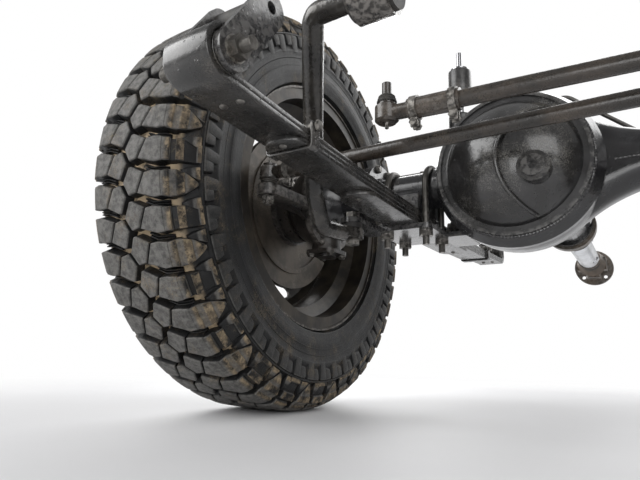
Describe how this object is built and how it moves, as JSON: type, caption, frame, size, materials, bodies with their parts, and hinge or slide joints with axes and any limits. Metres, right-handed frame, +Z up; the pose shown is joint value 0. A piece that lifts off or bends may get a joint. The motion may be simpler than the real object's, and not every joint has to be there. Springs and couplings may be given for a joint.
{
  "type": "front axle of an off-road 4x4 with its wheels and leaf springs",
  "caption": "Solid front axle of an off-road 4x4 with mud tyres, leaf springs, steering bars, sway bar, dampers and propshaft; wheels spin and steer together.",
  "frame": {"origin": "centre of the right rear spring eye's bore", "axes": "+X to the vehicle's left along the axle, +Y to the vehicle's rear, +Z up"},
  "size_m": [1.42, 1.1519, 0.7164],
  "materials": {
    "axle_paint": "gloss black paint, wet and dusty",
    "spring_paint": "black paint worn at the edges",
    "fastener_steel": "dull zinc with dirt",
    "bush_rubber": "matte",
    "bar_steel": "worn dark paint over steel",
    "rod_steel": "black paint with brown rust",
    "knuckle_iron": "oily cast surface",
    "brake_iron": "machined with rust",
    "shield_steel": "dusty sheet",
    "shaft_silver": "bright",
    "shaft_iron": "forged, dirty",
    "rim_paint": "grey metallic under brown dust",
    "hub_steel": "silver, dusty",
    "tyre_rubber": "matte with tan dust",
    "damper_paint": "black",
    "damper_rod": "polished",
    "pipe_steel": "dull"
  },
  "bodies": {
    "root": {"axle_housing": "axle_paint", "axle_cover": "axle_paint", "filler_plug": "fastener_steel", "diff_carrier": "axle_paint", "third_leaves": "spring_paint", "fourth_leaves": "spring_paint", "leaf_clips": "spring_paint", "eye_bushes": "bush_rubber", "shackle_bushes": "bush_rubber", "u_bolt_nuts": "fastener_steel", "shackle_bolts": "fastener_steel", "sway_bar": "bar_steel", "sway_bushes": "bush_rubber", "sway_clamps": "bar_steel", "sway_end_bushes": "bush_rubber", "sway_end_bolts": "fastener_steel", "damper_pins": "fastener_steel", "brake_pipe": "pipe_steel", "main_leaf_left": "spring_paint", "main_leaf_right": "spring_paint", "wrapper_leaf_left": "spring_paint", "wrapper_leaf_right": "spring_paint", "u_bolts_left": "fastener_steel", "u_bolts_right": "fastener_steel", "spring_plate_left": "axle_paint", "spring_plate_right": "axle_paint", "shackle_plates_left": "axle_paint", "shackle_plates_right": "axle_paint", "damper_body_left": "damper_paint", "damper_body_right": "damper_paint", "damper_rod_left": "damper_rod", "damper_rod_right": "damper_rod"},
    "knuckle_right": {"knuckle_right": "knuckle_iron", "dust_shield_right": "shield_steel", "caliper_right": "brake_iron"},
    "knuckle_left": {"knuckle_left": "knuckle_iron", "dust_shield_left": "shield_steel", "caliper_left": "brake_iron"},
    "wheel_right": {"hub_right": "hub_steel", "locking_hub_right": "hub_steel", "brake_disc_right": "brake_iron", "rim_right": "rim_paint", "tyre_right": "tyre_rubber"},
    "wheel_left": {"hub_left": "hub_steel", "locking_hub_left": "hub_steel", "brake_disc_left": "brake_iron", "rim_left": "rim_paint", "tyre_left": "tyre_rubber"},
    "tie_rod": {"tie_rod": "rod_steel"},
    "drag_link": {"drag_link": "rod_steel"},
    "propshaft": {"pinion_flange": "shaft_iron", "propshaft_front_yoke": "shaft_iron", "propshaft_crosses": "shaft_iron", "propshaft_tube": "shaft_silver", "propshaft_slip_yoke": "shaft_iron", "propshaft_rear_flange": "shaft_iron"}
  },
  "joints": [
    {"name": "steer_right", "type": "hinge", "parent": "root", "child": "knuckle_right", "pos_m": [-0.168, -0.477, 0.01499], "axis": [0, 0, 1], "range_deg": [-24, 24]},
    {"name": "steer_left", "type": "hinge", "parent": "root", "child": "knuckle_left", "pos_m": [0.852, -0.477, 0.01499], "axis": [0, 0, 1], "range_deg": [-24, 24]},
    {"name": "tie_rod_turn", "type": "hinge", "parent": "knuckle_right", "child": "tie_rod", "pos_m": [-0.168, -0.649, 0.02299], "axis": [0, 0, 1], "range_deg": [-24, 24]},
    {"name": "drag_link_turn", "type": "hinge", "parent": "knuckle_left", "child": "drag_link", "pos_m": [0.832, -0.695, 0.02299], "axis": [0, 0, 1], "range_deg": [-24, 24]},
    {"name": "wheel_right_spin", "type": "hinge", "parent": "knuckle_right", "child": "wheel_right", "pos_m": [-0.268, -0.477, 0.01499], "axis": [1, 0, 0], "continuous": true},
    {"name": "wheel_left_spin", "type": "hinge", "parent": "knuckle_left", "child": "wheel_left", "pos_m": [0.952, -0.477, 0.01499], "axis": [1, 0, 0], "continuous": true},
    {"name": "propshaft_spin", "type": "hinge", "parent": "root", "child": "propshaft", "pos_m": [0.206, -0.307, -0.02301], "axis": [0, 1, 0], "continuous": true}
  ],
  "couplings": [
    {"joint": "steer_left", "follows": "steer_right", "ratio": 1},
    {"joint": "tie_rod_turn", "follows": "steer_right", "ratio": -1},
    {"joint": "drag_link_turn", "follows": "steer_right", "ratio": -1}
  ]
}
